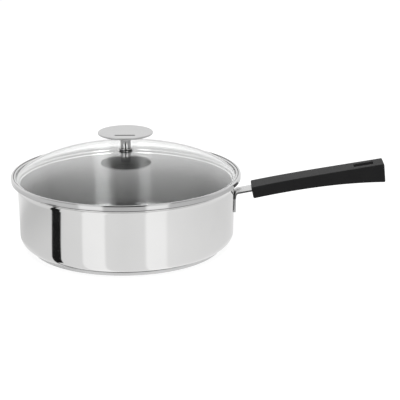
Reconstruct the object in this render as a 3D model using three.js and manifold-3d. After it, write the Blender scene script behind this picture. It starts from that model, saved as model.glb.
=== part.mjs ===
// Saute pan with a domed glass lid and a fixed moulded handle.
// Millimetres, +Z up. The pan's axis is Z, its base stands on z = 0 and the handle points along +X.

import * as THREE from 'three';
import { mergeVertices } from 'three/addons/utils/BufferGeometryUtils.js';
import Module from 'manifold-3d';

const wasm = await Module();
wasm.setup();

const rad = THREE.MathUtils.degToRad;

// Fits shared by all pieces
const CLEARANCE = 0.3; // running gap between neighbours
const SEAT_GAP = 0.1; // gap between faces that are clamped together

// Pan: one drawn sheet with a drafted wall, a round bottom corner and a flared pouring lip
const PAN_INNER_DIAMETER = 240; // at half height
const PAN_HEIGHT = 78.8; // top of the lip above the hob
const PAN_SHEET = 1.0;
const WALL_DRAFT = rad(1.3);
const CORNER_RADIUS = 12.5;
const LIP_RADIUS = 7; // outer face of the flare
const LIP_TURN = rad(75); // how far the flare leans out from the wall

// Base: an aluminium core held by a magnetic steel cap
const BASE_DIAMETER = 216;
const BASE_THICKNESS = 5.4;
const CAP_SHEET = 0.8;
const CAP_CORNER_RADIUS = 2;

// Handle strap: a bent steel bar with a saddle flange spot welded to the wall
const STRAP_THICKNESS = 2;
const STRAP_WIDTH = 22;
const FLANGE_WIDTH = 26; // at the foot
const FLANGE_FOOT_HEIGHT = 40.3;
const FOOT_CORNER = 4; // how far the flange's foot is drawn in at its corners
const STRAP_ROOT_HEIGHT = 62.6; // where the bar's middle line meets the flange's
const STRAP_ANGLE = rad(10.6);
const STRAP_BEND_RADIUS = 4; // middle line
const TANG_WIDTH = 17; // at the end inside the grip
const TANG_LENGTH = 62; // inside the grip
const DART_DEPTH = 1.6; // pressed stiffening dart across the bend
const DART_WIDTH = 5;
const DART_LENGTH = 17;

// Grip: a moulding that starts low and wide and grows tall at its end
const GRIP_START = 141.4; // from the pan's axis to the middle of the front face
const GRIP_LENGTH = 149.6;
const GRIP_DROP = 1.6; // middle of the front face below the tang's
const GRIP_START_ANGLE = rad(12);
const GRIP_END_ANGLE = rad(5);
const GRIP_START_WIDTH = 30;
const GRIP_END_WIDTH = 27;
const GRIP_START_HEIGHT = 14.9;
const GRIP_END_HEIGHT = 21.3;
const GRIP_SWELL = 3; // how late along the grip its height grows
const GRIP_START_EDGE = 4.5; // radius of the long edges at the front
const GRIP_END_EDGE = 1.4; // and at the rear
const GRIP_END_ROUND = 1.4; // rounding of the two end faces
const SLOT_LENGTH = 23; // hanging slot
const SLOT_WIDTH = 9.6;
const SLOT_CORNER = 2;
const SLOT_END_WALL = 10.5; // material behind the slot

// Grip screw: enters from below, passes the tang and pulls on a brass insert
const SCREW_DISTANCE = 44; // from the grip's front face
const SCREW_DIAMETER = 5;
const SCREW_HEAD_DIAMETER = 8.6;
const SCREW_HEAD_HEIGHT = 2.8;
const INSERT_DIAMETER = 8;
const INSERT_HEIGHT = 3.2;

// Lid glass: a dome with a flat rim
const GLASS_THICKNESS = 3;
const GLASS_OVERHANG = 0.3; // the glass edge stands outside the edge of the pan's lip
const GLASS_RIM_WIDTH = 6.4;
const GLASS_HEIGHT = 28.3; // crown above the rim
const GLASS_CROWN_REACH = 74; // half width of the flat part of the crown
const GLASS_SHOULDER_ANGLE = rad(39); // slope of the dome beside the rim
const GLASS_SHOULDER_LENGTH = 22;
const GLASS_BEND = 1.5; // reach of the bend between dome and rim
const GLASS_HOLE_DIAMETER = 10;

// Lid rim: a silicone strip and a rolled steel band round the glass edge
const SEAL_THICKNESS = 0.4;
const SEAL_DEPTH = 3; // how far the strip covers the glass rim
const BAND_SHEET = 0.5;
const BAND_TOP_REACH = 4; // how far the band's top leg covers the glass rim
const HEEL_RADIUS = 0.8; // lower outer corner of the band
const BEAD_RADIUS = 1.6; // upper outer corner, a raised bead
const BEAD_RISE = 0.3; // how far the bead stands above the top leg
const GROOVE_DEPTH = 0.5; // groove between the bead and the top leg
const GROOVE_RADIUS = 0.4;
const LEG_EDGE = 0.6; // rounding of the top leg's two edges
const SKIRT_DROP = 4.6; // locating skirt below the band's seat
const HEM_RADIUS = 0.6; // rolled lower edge of the skirt
const SKIRT_CLEARANCE = 1.4; // between the skirt and the pan's wall

// Knob: a flat disc on a turned stem, clamped through the glass
const KNOB_DIAMETER = 61.4;
const KNOB_SHEET = 2;
const KNOB_SLOT_LENGTH = 23;
const KNOB_SLOT_WIDTH = 3;
const KNOB_SLOT_OFFSET = 16;
const STEM_DIAMETER = 11.6;
const STEM_LENGTH = 16.2;
const COLLAR_DIAMETER = 15.2;
const COLLAR_THICKNESS = 1.2;
const GASKET_DIAMETER = 14.6;
const GASKET_THICKNESS = 0.9;
const BUSH_DIAMETER = 17;
const BUSH_FLANGE = 1.2;
const WASHER_DIAMETER = 16;
const WASHER_THICKNESS = 1.1;
const KNOB_SCREW_DIAMETER = 6;
const KNOB_SCREW_HEAD = 11;
const KNOB_SCREW_HEAD_HEIGHT = 3.4;
const KNOB_SCREW_GRIP = 9; // thread length inside the stem

// Facets
const ROUND_SIDES = 48; // pan and lid
const KNOB_SIDES = 40;
const SMALL_SIDES = 20;
const ARC_STEPS = 2; // per eighth of a turn in an outline
const ROLL_STEPS = 1; // the same in the small rounds of the lid band
const DOME_STEPS = 8;
const ROUND_STEPS = 4; // per rounded end or foot
const BEND_STEPS = 6;
const STRAP_FACETS = 6; // across the strap
const GRIP_STEPS = 14;
const WELD_TOLERANCE = 1e-4;

// Finishes
const POLISHED_STEEL = { color: 0xcfcfce, roughness: 0.12, metalness: 1 };
const SATIN_STEEL = { color: 0xb9b9b7, roughness: 0.35, metalness: 1 };
const ALUMINIUM = { color: 0xc8c9cb, roughness: 0.45, metalness: 1 };
const BRASS = { color: 0xb8934a, roughness: 0.4, metalness: 1 };
const BLACK_MOULDING = { color: 0x1d1d1e, roughness: 0.55, metalness: 0 };
const CLEAR_GLASS = { color: 0xdfe6e3, roughness: 0.02, metalness: 0, transparent: true, opacity: 0.25 };
const SILICONE = { color: 0x8d8f90, roughness: 0.7, metalness: 0 };

// Solid helpers

function weld(geometry) {
  geometry.deleteAttribute('normal');
  geometry.deleteAttribute('uv');
  return mergeVertices(geometry, WELD_TOLERANCE);
}

function toSolid(geometry) {
  const welded = weld(geometry);
  const corners = welded.index.array;
  const triangles = [];
  for (let i = 0; i < corners.length; i += 3) {
    const [a, b, c] = [corners[i], corners[i + 1], corners[i + 2]];
    if (a !== b && b !== c && c !== a) triangles.push(a, b, c);
  }
  const vertProperties = new Float32Array(welded.attributes.position.array);
  const triVerts = new Uint32Array(triangles);
  return new wasm.Manifold(new wasm.Mesh({ numProp: 3, vertProperties, triVerts }));
}

function toGeometry(solid) {
  const { vertProperties, triVerts } = solid.getMesh();
  const geometry = new THREE.BufferGeometry();
  geometry.setAttribute('position', new THREE.BufferAttribute(vertProperties, 3));
  geometry.setIndex(new THREE.BufferAttribute(triVerts, 1));
  geometry.computeVertexNormals();
  return geometry;
}

function piece(name, solid, finish) {
  const mesh = new THREE.Mesh(toGeometry(solid), new THREE.MeshStandardMaterial(finish));
  mesh.name = name;
  return mesh;
}

// Turns a closed outline of (radius, height) points, walked anticlockwise, about the Z axis.
function revolve(outline, sides) {
  const geometry = new THREE.LatheGeometry(outline, sides);
  geometry.rotateX(Math.PI / 2);
  return toSolid(geometry);
}

// A plain turned ring, or a disc when the bore is 0.
function ring(outerDiameter, bore, bottom, top, sides) {
  const outline = [
    new THREE.Vector2(bore / 2, bottom),
    new THREE.Vector2(outerDiameter / 2, bottom),
    new THREE.Vector2(outerDiameter / 2, top),
    new THREE.Vector2(bore / 2, top),
  ];
  if (bore > 0) outline.push(outline[0].clone());
  return revolve(outline, sides);
}

function distinct(points) {
  return points.filter((point, i) => i === 0 || point.distanceTo(points[i - 1]) > WELD_TOLERANCE);
}

// Moves a line of points to its left by a distance, with mitred corners.
function offsetLine(points, distance) {
  return points.map((point, i) => {
    const before = points[Math.max(i - 1, 0)];
    const after = points[Math.min(i + 1, points.length - 1)];
    const incoming = point.clone().sub(i > 0 ? before : after).normalize();
    if (i === 0) incoming.negate();
    const outgoing = after.clone().sub(point).normalize();
    const tangent = incoming.clone().add(outgoing).normalize();
    const left = new THREE.Vector2(-tangent.y, tangent.x);
    const miter = incoming.x * tangent.x + incoming.y * tangent.y;
    return point.clone().addScaledVector(left, distance / miter);
  });
}

// The outline of a sheet whose near face is the line and whose far face lies to its left.
function sheetOutline(line, thickness) {
  const near = distinct(line);
  const far = offsetLine(near, thickness).reverse();
  return [...near, ...far];
}

function closed(outline) {
  return [...outline, outline[0].clone()];
}

// Skins a row of sections, each an equal count of points walked anticlockwise seen from the far end.
function loft(sections, capOutline) {
  const count = sections[0].length;
  const positions = sections.flat().flatMap((point) => [point.x, point.y, point.z]);
  const index = [];
  for (let s = 0; s < sections.length - 1; s += 1) {
    for (let i = 0; i < count; i += 1) {
      const a = s * count + i;
      const b = s * count + ((i + 1) % count);
      index.push(a, b, b + count, a, b + count, a + count);
    }
  }
  const last = (sections.length - 1) * count;
  const clockwise = THREE.ShapeUtils.isClockWise(capOutline);
  for (const triangle of THREE.ShapeUtils.triangulateShape(capOutline, [])) {
    const [a, b, c] = clockwise ? triangle.toReversed() : triangle;
    index.push(a, c, b);
    index.push(last + a, last + b, last + c);
  }
  const geometry = new THREE.BufferGeometry();
  geometry.setAttribute('position', new THREE.Float32BufferAttribute(positions, 3));
  geometry.setIndex(index);
  return toSolid(geometry);
}

function roundedRectangle(width, height, radius) {
  const shape = new THREE.Shape();
  const [x, y] = [width / 2 - radius, height / 2 - radius];
  shape.absarc(x, y, radius, 0, Math.PI / 2);
  shape.absarc(-x, y, radius, Math.PI / 2, Math.PI);
  shape.absarc(-x, -y, radius, Math.PI, -Math.PI / 2);
  shape.absarc(x, -y, radius, -Math.PI / 2, 0);
  return shape;
}

// A straight prism of a shape along Z, centred on z = 0.
function prism(shape, length) {
  const geometry = new THREE.ExtrudeGeometry(shape, {
    depth: length,
    bevelEnabled: false,
    curveSegments: ARC_STEPS,
  });
  geometry.translate(0, 0, -length / 2);
  return geometry;
}

// Pan

const panRadius = PAN_INNER_DIAMETER / 2 + PAN_SHEET;
const bodyBottom = BASE_THICKNESS;

function wallRadius(height) {
  return panRadius + Math.tan(WALL_DRAFT) * (height - PAN_HEIGHT / 2);
}

const lipRise = LIP_RADIUS * (Math.sin(LIP_TURN) - Math.sin(WALL_DRAFT));
const lipStart = PAN_HEIGHT - PAN_SHEET * Math.sin(LIP_TURN) - lipRise;
const lipCentre = new THREE.Vector2(
  wallRadius(lipStart) + LIP_RADIUS * Math.cos(WALL_DRAFT),
  lipStart - LIP_RADIUS * Math.sin(WALL_DRAFT),
);
const lipEdge = lipCentre.x - LIP_RADIUS * Math.cos(LIP_TURN);

// Outer face of the pan from the axis to the end of the lip.
function panLine() {
  const cornerHeight = bodyBottom + CORNER_RADIUS * (1 - Math.sin(WALL_DRAFT));
  const cornerTangent = wallRadius(cornerHeight) - CORNER_RADIUS * Math.cos(WALL_DRAFT);
  const line = new THREE.Path();
  line.moveTo(0, bodyBottom);
  line.lineTo(cornerTangent, bodyBottom);
  line.absarc(cornerTangent, bodyBottom + CORNER_RADIUS, CORNER_RADIUS, -Math.PI / 2, -WALL_DRAFT);
  line.absarc(lipCentre.x, lipCentre.y, LIP_RADIUS, Math.PI - WALL_DRAFT, Math.PI - LIP_TURN, true);
  return distinct(line.getPoints(ARC_STEPS));
}

function makePanBody() {
  return revolve(sheetOutline(panLine(), PAN_SHEET), ROUND_SIDES);
}

// Steel cup under the base, open at the top.
function makeBaseCap() {
  const radius = BASE_DIAMETER / 2;
  const line = new THREE.Path();
  line.moveTo(0, 0);
  line.lineTo(radius - CAP_CORNER_RADIUS, 0);
  line.absarc(radius - CAP_CORNER_RADIUS, CAP_CORNER_RADIUS, CAP_CORNER_RADIUS, -Math.PI / 2, 0);
  line.lineTo(radius, BASE_THICKNESS - CLEARANCE);
  return revolve(sheetOutline(line.getPoints(ARC_STEPS), CAP_SHEET), ROUND_SIDES);
}

// Conducting disc between the pan and the cap, with its lower edge eased to clear the cap's corner.
function makeBaseCore() {
  const radius = BASE_DIAMETER / 2 - CAP_SHEET - CLEARANCE;
  const bottom = CAP_SHEET + SEAT_GAP;
  const top = BASE_THICKNESS - SEAT_GAP;
  const outline = [
    new THREE.Vector2(0, bottom),
    new THREE.Vector2(radius - CAP_CORNER_RADIUS, bottom),
    new THREE.Vector2(radius, bottom + CAP_CORNER_RADIUS),
    new THREE.Vector2(radius, top),
    new THREE.Vector2(0, top),
  ];
  return revolve(outline, ROUND_SIDES);
}

// Handle strap

const flangeMiddle = wallRadius(STRAP_ROOT_HEIGHT) + CLEARANCE + STRAP_THICKNESS / 2;
const strapRoot = new THREE.Vector3(flangeMiddle, 0, STRAP_ROOT_HEIGHT);
const strapAlong = new THREE.Vector3(Math.cos(STRAP_ANGLE), 0, Math.sin(STRAP_ANGLE));
const gripFront = strapRoot.clone().addScaledVector(strapAlong, (GRIP_START - flangeMiddle) / strapAlong.x);
const tangEnd = gripFront.clone().addScaledVector(strapAlong, TANG_LENGTH);

// The bar is widest at the flange's foot, even up to the grip and tapered inside it.
function strapWidth(point) {
  const intoGrip = (point.x - gripFront.x) / (tangEnd.x - gripFront.x);
  if (intoGrip > 0) return THREE.MathUtils.lerp(STRAP_WIDTH, TANG_WIDTH, intoGrip);
  const towardsFoot = (STRAP_ROOT_HEIGHT - point.z) / (STRAP_ROOT_HEIGHT - FLANGE_FOOT_HEIGHT);
  return THREE.MathUtils.lerp(STRAP_WIDTH, FLANGE_WIDTH, Math.max(towardsFoot, 0));
}

// Stations on the middle line of the strap: place, left-hand normal, and how much the saddle curve counts.
function strapStations() {
  const flangeTilt = Math.PI / 2 - WALL_DRAFT;
  const turn = flangeTilt - STRAP_ANGLE;
  const setback = STRAP_BEND_RADIUS * Math.tan(turn / 2);
  const flangeAlong = new THREE.Vector3(Math.cos(flangeTilt), 0, Math.sin(flangeTilt));
  const footDistance = (STRAP_ROOT_HEIGHT - FLANGE_FOOT_HEIGHT) / flangeAlong.z;
  const bendStart = strapRoot.clone().addScaledVector(flangeAlong, -setback);
  const foot = strapRoot.clone().addScaledVector(flangeAlong, -footDistance);
  const shoulder = foot.clone().addScaledVector(flangeAlong, FOOT_CORNER);
  const stations = [];
  const add = (point, angle, saddle, drawnIn) => {
    const normal = new THREE.Vector3(-Math.sin(angle), 0, Math.cos(angle));
    stations.push({ point, normal, saddle, width: strapWidth(point) - 2 * drawnIn });
  };
  for (let i = 0; i < ROUND_STEPS; i += 1) {
    const round = ((i / ROUND_STEPS) * Math.PI) / 2;
    const point = foot.clone().lerp(shoulder, 1 - Math.cos(round));
    add(point, flangeTilt, 1, FOOT_CORNER * (1 - Math.sin(round)));
  }
  add(shoulder, flangeTilt, 1, 0);
  add(strapRoot.clone().addScaledVector(flangeAlong, -DART_LENGTH / 2), flangeTilt, 1, 0);
  const centre = bendStart.clone();
  centre.x += STRAP_BEND_RADIUS * Math.sin(flangeTilt);
  centre.z -= STRAP_BEND_RADIUS * Math.cos(flangeTilt);
  for (let i = 0; i <= BEND_STEPS; i += 1) {
    const angle = flangeTilt - (turn * i) / BEND_STEPS;
    const point = centre.clone();
    point.x -= STRAP_BEND_RADIUS * Math.sin(angle);
    point.z += STRAP_BEND_RADIUS * Math.cos(angle);
    add(point, angle, 1 - i / BEND_STEPS, 0);
  }
  const dartEnd = strapRoot.clone().addScaledVector(strapAlong, DART_LENGTH / 2);
  add(dartEnd, STRAP_ANGLE, 0, 0);
  add(gripFront, STRAP_ANGLE, 0, 0);
  add(tangEnd, STRAP_ANGLE, 0, 0);
  return stations;
}

// A bar section: two faces across Y, bowed to the wall by the saddle and pressed in by the dart.
function strapSection(station) {
  const section = [];
  const fromRoot = station.point.distanceTo(strapRoot);
  const dartShare = Math.max(0, 1 - fromRoot / (DART_LENGTH / 2));
  const face = (side, y) => {
    const bow = station.saddle * (Math.hypot(flangeMiddle, y) - flangeMiddle);
    const dart = DART_DEPTH * dartShare * Math.max(0, 1 - Math.abs(y) / DART_WIDTH);
    const point = station.point.clone();
    point.addScaledVector(station.normal, (side * STRAP_THICKNESS) / 2 + bow - dart);
    point.y = y;
    return point;
  };
  for (let i = 0; i <= STRAP_FACETS; i += 1) {
    section.push(face(1, station.width / 2 - (station.width * i) / STRAP_FACETS));
  }
  for (let i = 0; i <= STRAP_FACETS; i += 1) {
    section.push(face(-1, (station.width * i) / STRAP_FACETS - station.width / 2));
  }
  return section;
}

function sectionOutline(section, normal) {
  return section.map((point) => new THREE.Vector2(point.dot(normal), point.y));
}

function makeStrap() {
  const stations = strapStations();
  const sections = stations.map(strapSection);
  const strap = loft(sections, sectionOutline(sections[0], stations[0].normal));
  return strap.subtract(screwBore(SCREW_DIAMETER + 2 * CLEARANCE));
}

// Screw, insert and the bores that they pass, square to the tang

const screwFrame = new THREE.Matrix4().makeRotationY(-STRAP_ANGLE);
screwFrame.setPosition(gripFront.clone().addScaledVector(strapAlong, SCREW_DISTANCE));
const boreReach = GRIP_END_HEIGHT + GRIP_START_HEIGHT;
const headSeat = -GRIP_START_HEIGHT / 2 + SCREW_HEAD_HEIGHT;
const insertBottom = STRAP_THICKNESS / 2 + CLEARANCE + SEAT_GAP;
const insertTop = insertBottom + INSERT_HEIGHT;

function inScrewFrame(solid) {
  const geometry = toGeometry(solid);
  geometry.applyMatrix4(screwFrame);
  return toSolid(geometry);
}

function screwBore(diameter) {
  return inScrewFrame(ring(diameter, 0, -boreReach, insertTop, SMALL_SIDES));
}

function makeGripScrew() {
  const headTop = headSeat - CLEARANCE;
  const headBottom = headTop - SCREW_HEAD_HEIGHT;
  const shank = ring(SCREW_DIAMETER, 0, headTop, insertTop - CLEARANCE, SMALL_SIDES);
  const head = ring(SCREW_HEAD_DIAMETER, 0, headBottom, headTop, SMALL_SIDES);
  return inScrewFrame(shank.add(head));
}

function makeGripInsert() {
  const bore = SCREW_DIAMETER + 2 * CLEARANCE;
  return inScrewFrame(ring(INSERT_DIAMETER, bore, insertBottom, insertTop, SMALL_SIDES));
}

// Grip

const gripSpine = (() => {
  const half = GRIP_LENGTH / 2;
  const start = new THREE.Vector3(GRIP_START, 0, gripFront.z - GRIP_DROP);
  const middle = start.clone();
  middle.x += half * Math.cos(GRIP_START_ANGLE);
  middle.z += half * Math.sin(GRIP_START_ANGLE);
  const end = middle.clone();
  end.x += half * Math.cos(GRIP_END_ANGLE);
  end.z += half * Math.sin(GRIP_END_ANGLE);
  return new THREE.QuadraticBezierCurve3(start, middle, end);
})();

// One section of the grip at a share of its length, drawn in all round by an inset.
function gripSection(share, inset) {
  const { lerp } = THREE.MathUtils;
  const width = lerp(GRIP_START_WIDTH, GRIP_END_WIDTH, share) - 2 * inset;
  const height = lerp(GRIP_START_HEIGHT, GRIP_END_HEIGHT, share ** GRIP_SWELL) - 2 * inset;
  const edge = lerp(GRIP_START_EDGE, GRIP_END_EDGE, share) - inset / 2;
  const outline = distinct(roundedRectangle(width, height, edge).getPoints(ARC_STEPS));
  if (outline[0].distanceTo(outline.at(-1)) < WELD_TOLERANCE) outline.pop();
  const origin = gripSpine.getPointAt(share);
  const along = gripSpine.getTangentAt(share);
  const up = new THREE.Vector3(-along.z, 0, along.x);
  const points = outline.map((corner) => {
    const point = origin.clone().addScaledVector(up, corner.y);
    point.y = -corner.x;
    return point;
  });
  return { outline, points: points.reverse() };
}

// The tang's socket: the strap's own form with clearance all round, open at the grip's front.
function makeSocket() {
  const shape = new THREE.Shape();
  const mouth = -CLEARANCE - GRIP_START_HEIGHT;
  const bottom = TANG_LENGTH + CLEARANCE;
  const mouthHalf = STRAP_WIDTH / 2 + CLEARANCE;
  const bottomHalf = TANG_WIDTH / 2 + CLEARANCE;
  shape.moveTo(mouth, -mouthHalf);
  shape.lineTo(0, -mouthHalf);
  shape.lineTo(bottom, -bottomHalf);
  shape.lineTo(bottom, bottomHalf);
  shape.lineTo(0, mouthHalf);
  shape.lineTo(mouth, mouthHalf);
  const geometry = prism(shape, STRAP_THICKNESS + 2 * CLEARANCE);
  const frame = new THREE.Matrix4().makeRotationY(-STRAP_ANGLE);
  geometry.applyMatrix4(frame.setPosition(gripFront));
  return toSolid(geometry);
}

function makeHangingSlot() {
  const fromEnd = SLOT_END_WALL + SLOT_LENGTH / 2;
  const share = 1 - fromEnd / GRIP_LENGTH;
  const along = gripSpine.getTangentAt(share);
  const geometry = prism(roundedRectangle(SLOT_LENGTH, SLOT_WIDTH, SLOT_CORNER), boreReach);
  const frame = new THREE.Matrix4().makeRotationY(-Math.atan2(along.z, along.x));
  geometry.applyMatrix4(frame.setPosition(gripSpine.getPointAt(share)));
  return toSolid(geometry);
}

function makeGrip() {
  const rounded = [];
  for (let i = 0; i < ROUND_STEPS; i += 1) {
    const angle = ((i / ROUND_STEPS) * Math.PI) / 2;
    const distance = GRIP_END_ROUND * (1 - Math.cos(angle));
    rounded.push({ share: distance / GRIP_LENGTH, inset: GRIP_END_ROUND * (1 - Math.sin(angle)) });
  }
  const endShare = GRIP_END_ROUND / GRIP_LENGTH;
  const stations = [...rounded];
  for (let i = 0; i <= GRIP_STEPS; i += 1) {
    stations.push({ share: THREE.MathUtils.lerp(endShare, 1 - endShare, i / GRIP_STEPS), inset: 0 });
  }
  for (const { share, inset } of rounded.reverse()) stations.push({ share: 1 - share, inset });
  const sections = stations.map(({ share, inset }) => gripSection(share, inset));
  const body = loft(sections.map(({ points }) => points), sections[0].outline.toReversed());
  const headBore = ring(SCREW_HEAD_DIAMETER + 2 * CLEARANCE, 0, -boreReach, headSeat, SMALL_SIDES);
  const insertBore = ring(INSERT_DIAMETER + 2 * CLEARANCE, 0, 0, insertTop + CLEARANCE, SMALL_SIDES);
  return body
    .subtract(makeSocket())
    .subtract(makeHangingSlot())
    .subtract(screwBore(SCREW_DIAMETER + 2 * CLEARANCE))
    .subtract(inScrewFrame(headBore))
    .subtract(inScrewFrame(insertBore));
}

// Lid rim stack, from the pan's lip upwards

const glassRadius = lipEdge + GLASS_OVERHANG;
const bandBottom = PAN_HEIGHT + CLEARANCE;
const sealBottom = bandBottom + BAND_SHEET + SEAT_GAP;
const rimBottom = sealBottom + SEAL_THICKNESS + SEAT_GAP;
const rimTop = rimBottom + GLASS_THICKNESS;
const sealTop = rimTop + SEAT_GAP + SEAL_THICKNESS;
const sealRadius = glassRadius + CLEARANCE + SEAL_THICKNESS;
const glassCrown = rimTop + GLASS_HEIGHT;

// Upper face of the glass, from its edge to its hole.
function glassLine() {
  const rimInner = glassRadius - GLASS_RIM_WIDTH;
  const bendCorner = rimInner - GLASS_BEND;
  const domeEdge = new THREE.Vector2(
    bendCorner - GLASS_BEND * Math.cos(GLASS_SHOULDER_ANGLE),
    rimTop + GLASS_BEND * Math.sin(GLASS_SHOULDER_ANGLE),
  );
  const shoulder = domeEdge.clone();
  shoulder.x -= GLASS_SHOULDER_LENGTH * Math.cos(GLASS_SHOULDER_ANGLE);
  shoulder.y += GLASS_SHOULDER_LENGTH * Math.sin(GLASS_SHOULDER_ANGLE);
  const hole = GLASS_HOLE_DIAMETER / 2;
  const line = new THREE.Path();
  line.moveTo(glassRadius, rimTop);
  line.lineTo(rimInner, rimTop);
  line.quadraticCurveTo(bendCorner, rimTop, domeEdge.x, domeEdge.y);
  const dome = new THREE.Path();
  dome.moveTo(domeEdge.x, domeEdge.y);
  dome.bezierCurveTo(shoulder.x, shoulder.y, GLASS_CROWN_REACH, glassCrown, hole, glassCrown);
  return [...line.getPoints(ARC_STEPS), ...dome.getPoints(DOME_STEPS)];
}

function makeGlass() {
  return revolve(closed(sheetOutline(glassLine(), GLASS_THICKNESS)), ROUND_SIDES);
}

function makeSeal() {
  const inner = glassRadius - SEAL_DEPTH;
  const line = [
    new THREE.Vector2(inner, sealBottom),
    new THREE.Vector2(sealRadius, sealBottom),
    new THREE.Vector2(sealRadius, sealTop),
    new THREE.Vector2(inner, sealTop),
  ];
  return revolve(closed(sheetOutline(line, SEAL_THICKNESS)), ROUND_SIDES);
}

// Centre of a round at a height, on the inner side of another centre at a distance.
function roundBeside(centre, distance, height) {
  return new THREE.Vector2(centre.x - Math.sqrt(distance ** 2 - (height - centre.y) ** 2), height);
}

// Rolled band: hemmed locating skirt, seat, outer face with a bead, groove, and a top leg over the glass.
function makeBand() {
  const outer = sealRadius + CLEARANCE + BAND_SHEET;
  const inner = glassRadius - BAND_TOP_REACH;
  const grooveBottom = sealTop + SEAT_GAP + BAND_SHEET;
  const legTop = grooveBottom + GROOVE_DEPTH;
  const bead = new THREE.Vector2(outer - BEAD_RADIUS, legTop + BEAD_RISE - BEAD_RADIUS);
  const groove = roundBeside(bead, BEAD_RADIUS + GROOVE_RADIUS, grooveBottom + GROOVE_RADIUS);
  const leg = roundBeside(groove, GROOVE_RADIUS + LEG_EDGE, legTop - LEG_EDGE);
  const beadEnd = groove.clone().sub(bead).angle();
  const legStart = groove.clone().sub(leg).angle();
  const skirtBottom = bandBottom - SKIRT_DROP;
  const skirtRadius = wallRadius(skirtBottom) - PAN_SHEET - SKIRT_CLEARANCE;
  const fold = 2 * BAND_SHEET;
  const line = new THREE.Path();
  line.absarc(skirtRadius - HEM_RADIUS, skirtBottom + HEM_RADIUS, HEM_RADIUS, Math.PI, 2 * Math.PI);
  line.absarc(skirtRadius + fold, bandBottom - fold, fold, Math.PI, Math.PI / 2, true);
  line.absarc(outer - HEEL_RADIUS, bandBottom + HEEL_RADIUS, HEEL_RADIUS, -Math.PI / 2, 0);
  line.absarc(bead.x, bead.y, BEAD_RADIUS, 0, beadEnd);
  line.absarc(groove.x, groove.y, GROOVE_RADIUS, beadEnd - Math.PI, legStart - Math.PI, true);
  line.absarc(leg.x, leg.y, LEG_EDGE, legStart, Math.PI / 2);
  line.absarc(inner + LEG_EDGE, legTop - LEG_EDGE, LEG_EDGE, Math.PI / 2, Math.PI);
  line.lineTo(inner, rimTop + CLEARANCE);
  return revolve(closed(sheetOutline(line.getPoints(ROLL_STEPS), BAND_SHEET)), ROUND_SIDES);
}

// Knob stack, from the glass upwards and downwards

const gasketBottom = glassCrown + SEAT_GAP;
const collarBottom = gasketBottom + GASKET_THICKNESS + SEAT_GAP;
const stemBottom = collarBottom + COLLAR_THICKNESS + SEAT_GAP;
const stemTop = stemBottom + STEM_LENGTH;
const discBottom = stemTop + SEAT_GAP;
const glassUnder = glassCrown - GLASS_THICKNESS;
const bushTop = glassUnder - SEAT_GAP;
const washerTop = bushTop - BUSH_FLANGE - SEAT_GAP;
const screwSeat = washerTop - WASHER_THICKNESS - SEAT_GAP;
const knobScrewTop = stemBottom + KNOB_SCREW_GRIP;
const knobScrewBore = KNOB_SCREW_DIAMETER + 2 * CLEARANCE;

function makeKnobDisc() {
  const edge = KNOB_SHEET / 2;
  const radius = KNOB_DIAMETER / 2 - edge;
  const line = new THREE.Path();
  line.moveTo(0, discBottom);
  line.lineTo(radius, discBottom);
  line.absarc(radius, discBottom + edge, edge, -Math.PI / 2, Math.PI / 2);
  line.lineTo(0, discBottom + KNOB_SHEET);
  const disc = revolve(distinct(line.getPoints(ARC_STEPS)), KNOB_SIDES);
  const slotShape = roundedRectangle(KNOB_SLOT_LENGTH, KNOB_SLOT_WIDTH, KNOB_SLOT_WIDTH / 2);
  const slot = prism(slotShape, 2 * KNOB_SHEET);
  slot.translate(0, -KNOB_SLOT_OFFSET, discBottom + edge);
  return disc.subtract(toSolid(slot));
}

function makeStem() {
  const stem = ring(STEM_DIAMETER, 0, stemBottom, stemTop, SMALL_SIDES);
  const bore = ring(knobScrewBore, 0, glassUnder, knobScrewTop + CLEARANCE, SMALL_SIDES);
  return stem.subtract(bore);
}

// Silicone bush: a flange under the glass and a sleeve that lines the hole.
function makeBush() {
  const flange = ring(BUSH_DIAMETER, knobScrewBore, bushTop - BUSH_FLANGE, bushTop, SMALL_SIDES);
  const sleeveDiameter = GLASS_HOLE_DIAMETER - 2 * CLEARANCE;
  const sleeve = ring(sleeveDiameter, knobScrewBore, bushTop - BUSH_FLANGE, glassCrown, SMALL_SIDES);
  return flange.add(sleeve);
}

function makeKnobScrew() {
  const headBottom = screwSeat - KNOB_SCREW_HEAD_HEIGHT;
  const shank = ring(KNOB_SCREW_DIAMETER, 0, headBottom, knobScrewTop, SMALL_SIDES);
  const head = ring(KNOB_SCREW_HEAD, 0, headBottom, screwSeat, SMALL_SIDES);
  return shank.add(head);
}

function makeRing(diameter, bottom, thickness) {
  return ring(diameter, knobScrewBore, bottom, bottom + thickness, SMALL_SIDES);
}

// Assembly

const pan = new THREE.Group();
pan.add(
  piece('pan_body', makePanBody(), POLISHED_STEEL),
  piece('base_core', makeBaseCore(), ALUMINIUM),
  piece('base_cap', makeBaseCap(), SATIN_STEEL),
  piece('handle_strap', makeStrap(), SATIN_STEEL),
  piece('grip', makeGrip(), BLACK_MOULDING),
  piece('grip_screw', makeGripScrew(), SATIN_STEEL),
  piece('grip_insert', makeGripInsert(), BRASS),
);

const knob = new THREE.Group();
knob.add(
  piece('knob_disc', makeKnobDisc(), POLISHED_STEEL),
  piece('knob_stem', makeStem(), POLISHED_STEEL),
  piece('knob_collar', makeRing(COLLAR_DIAMETER, collarBottom, COLLAR_THICKNESS), POLISHED_STEEL),
  piece('collar_gasket', makeRing(GASKET_DIAMETER, gasketBottom, GASKET_THICKNESS), SILICONE),
  piece('hole_bush', makeBush(), SILICONE),
  piece('backing_washer', makeRing(WASHER_DIAMETER, screwSeat + SEAT_GAP, WASHER_THICKNESS), SATIN_STEEL),
  piece('knob_screw', makeKnobScrew(), SATIN_STEEL),
);

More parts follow.
